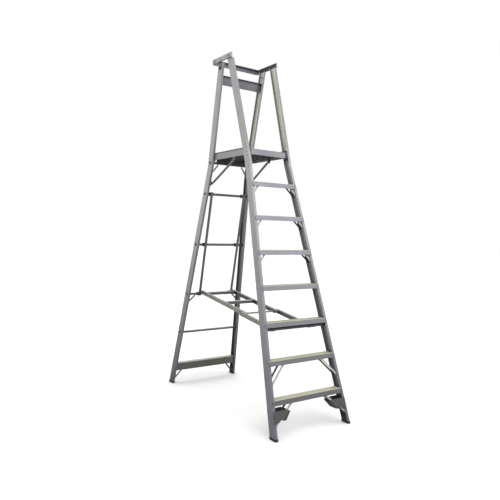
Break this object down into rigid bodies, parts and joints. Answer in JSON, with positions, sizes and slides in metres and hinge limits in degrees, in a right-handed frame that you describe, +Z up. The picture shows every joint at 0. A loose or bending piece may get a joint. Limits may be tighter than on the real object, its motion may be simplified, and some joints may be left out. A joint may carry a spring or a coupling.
{
  "type": "platform ladder",
  "caption": "Folding four-legged platform ladder with ribbed treads, hinged platform, folding spreader and a guard rail round the top.",
  "frame": {"origin": "centre of the footprint on the ground", "axes": "+Z up, +X across the width, +Y from the climbing side to the rear frame"},
  "size_m": [0.846, 1.9048, 3.317],
  "materials": {
    "aluminium": "mill satin",
    "rubber": "matte",
    "dark_plastic": "matte",
    "steel": "zinc plated"
  },
  "bodies": {
    "front_frame": {"front_feet": "rubber", "front_stile_left": "aluminium", "front_stile_right": "aluminium", "guard_rail_caps": "aluminium", "guard_rail_left": "aluminium", "guard_rail_rear": "aluminium", "guard_rail_right": "aluminium", "gusset_edges": "rubber", "gussets": "aluminium", "hinge_bolts": "steel", "hinge_links": "steel", "pivot_bar": "aluminium", "platform_hinges": "dark_plastic", "rail_bolts": "steel", "rivets": "steel", "spreader_lugs": "steel", "tread_1": "aluminium", "tread_1_braces": "aluminium", "tread_2": "aluminium", "tread_2_braces": "aluminium", "tread_3": "aluminium", "tread_4": "aluminium", "tread_5": "aluminium", "tread_6": "aluminium", "tread_7": "aluminium", "upper_tread_braces": "aluminium"},
    "rear_frame": {"bottom_channel_braces": "aluminium", "rear_bottom_channel": "aluminium", "rear_feet": "rubber", "rear_rung_1": "aluminium", "rear_rung_2": "aluminium", "rear_rung_3": "aluminium", "rear_rung_4": "aluminium", "rear_rung_5": "aluminium", "rear_stile_left": "aluminium", "rear_stile_right": "aluminium", "rear_top_channel": "aluminium", "rung_1_braces": "aluminium", "rung_4_braces": "aluminium", "spreader_ears": "steel", "stay_brackets": "steel", "tie_collars": "aluminium", "tie_rod_left": "aluminium", "tie_rod_right": "aluminium"},
    "platform": {"platform_deck": "aluminium", "platform_side_left": "aluminium", "platform_side_right": "aluminium", "platform_caps": "dark_plastic", "platform_hooks": "steel", "stay_ears": "steel"},
    "spreader_front": {"spreader_front_left": "aluminium", "spreader_front_right": "aluminium"},
    "spreader_rear": {"spreader_rear_left": "aluminium", "spreader_rear_right": "aluminium", "spreader_mid_rod": "steel", "spreader_cross_bars": "aluminium"},
    "platform_stays": {"platform_stay_left": "aluminium", "platform_stay_right": "aluminium"}
  },
  "joints": [
    {"name": "rear_fold", "type": "hinge", "parent": "front_frame", "child": "rear_frame", "pos_m": [0, 0.292, 3.22], "axis": [-1, 0, 0], "range_deg": [0, 27]},
    {"name": "platform_fold", "type": "hinge", "parent": "front_frame", "child": "platform", "pos_m": [0, -0.158, 2.392], "axis": [1, 0, 0], "range_deg": [0, 72.7]},
    {"name": "spreader_front_fold", "type": "hinge", "parent": "front_frame", "child": "spreader_front", "pos_m": [0, -0.59, 0.832], "axis": [-1, 0, 0], "range_deg": [0, 113.4]},
    {"name": "spreader_rear_fold", "type": "hinge", "parent": "rear_frame", "child": "spreader_rear", "pos_m": [0, 0.646, 1.012], "axis": [1, 0, 0], "range_deg": [0, 85]},
    {"name": "stay_fold", "type": "hinge", "parent": "rear_frame", "child": "platform_stays", "pos_m": [0, 0.448, 2.137], "axis": [-1, 0, 0], "range_deg": [0, 34.7]}
  ],
  "couplings": [
    {"joint": "platform_fold", "follows": "rear_fold", "ratio": 2.6852},
    {"joint": "spreader_front_fold", "follows": "rear_fold", "ratio": 4.1941},
    {"joint": "spreader_rear_fold", "follows": "rear_fold", "ratio": 3.1411},
    {"joint": "stay_fold", "follows": "rear_fold", "ratio": 1.2778}
  ]
}
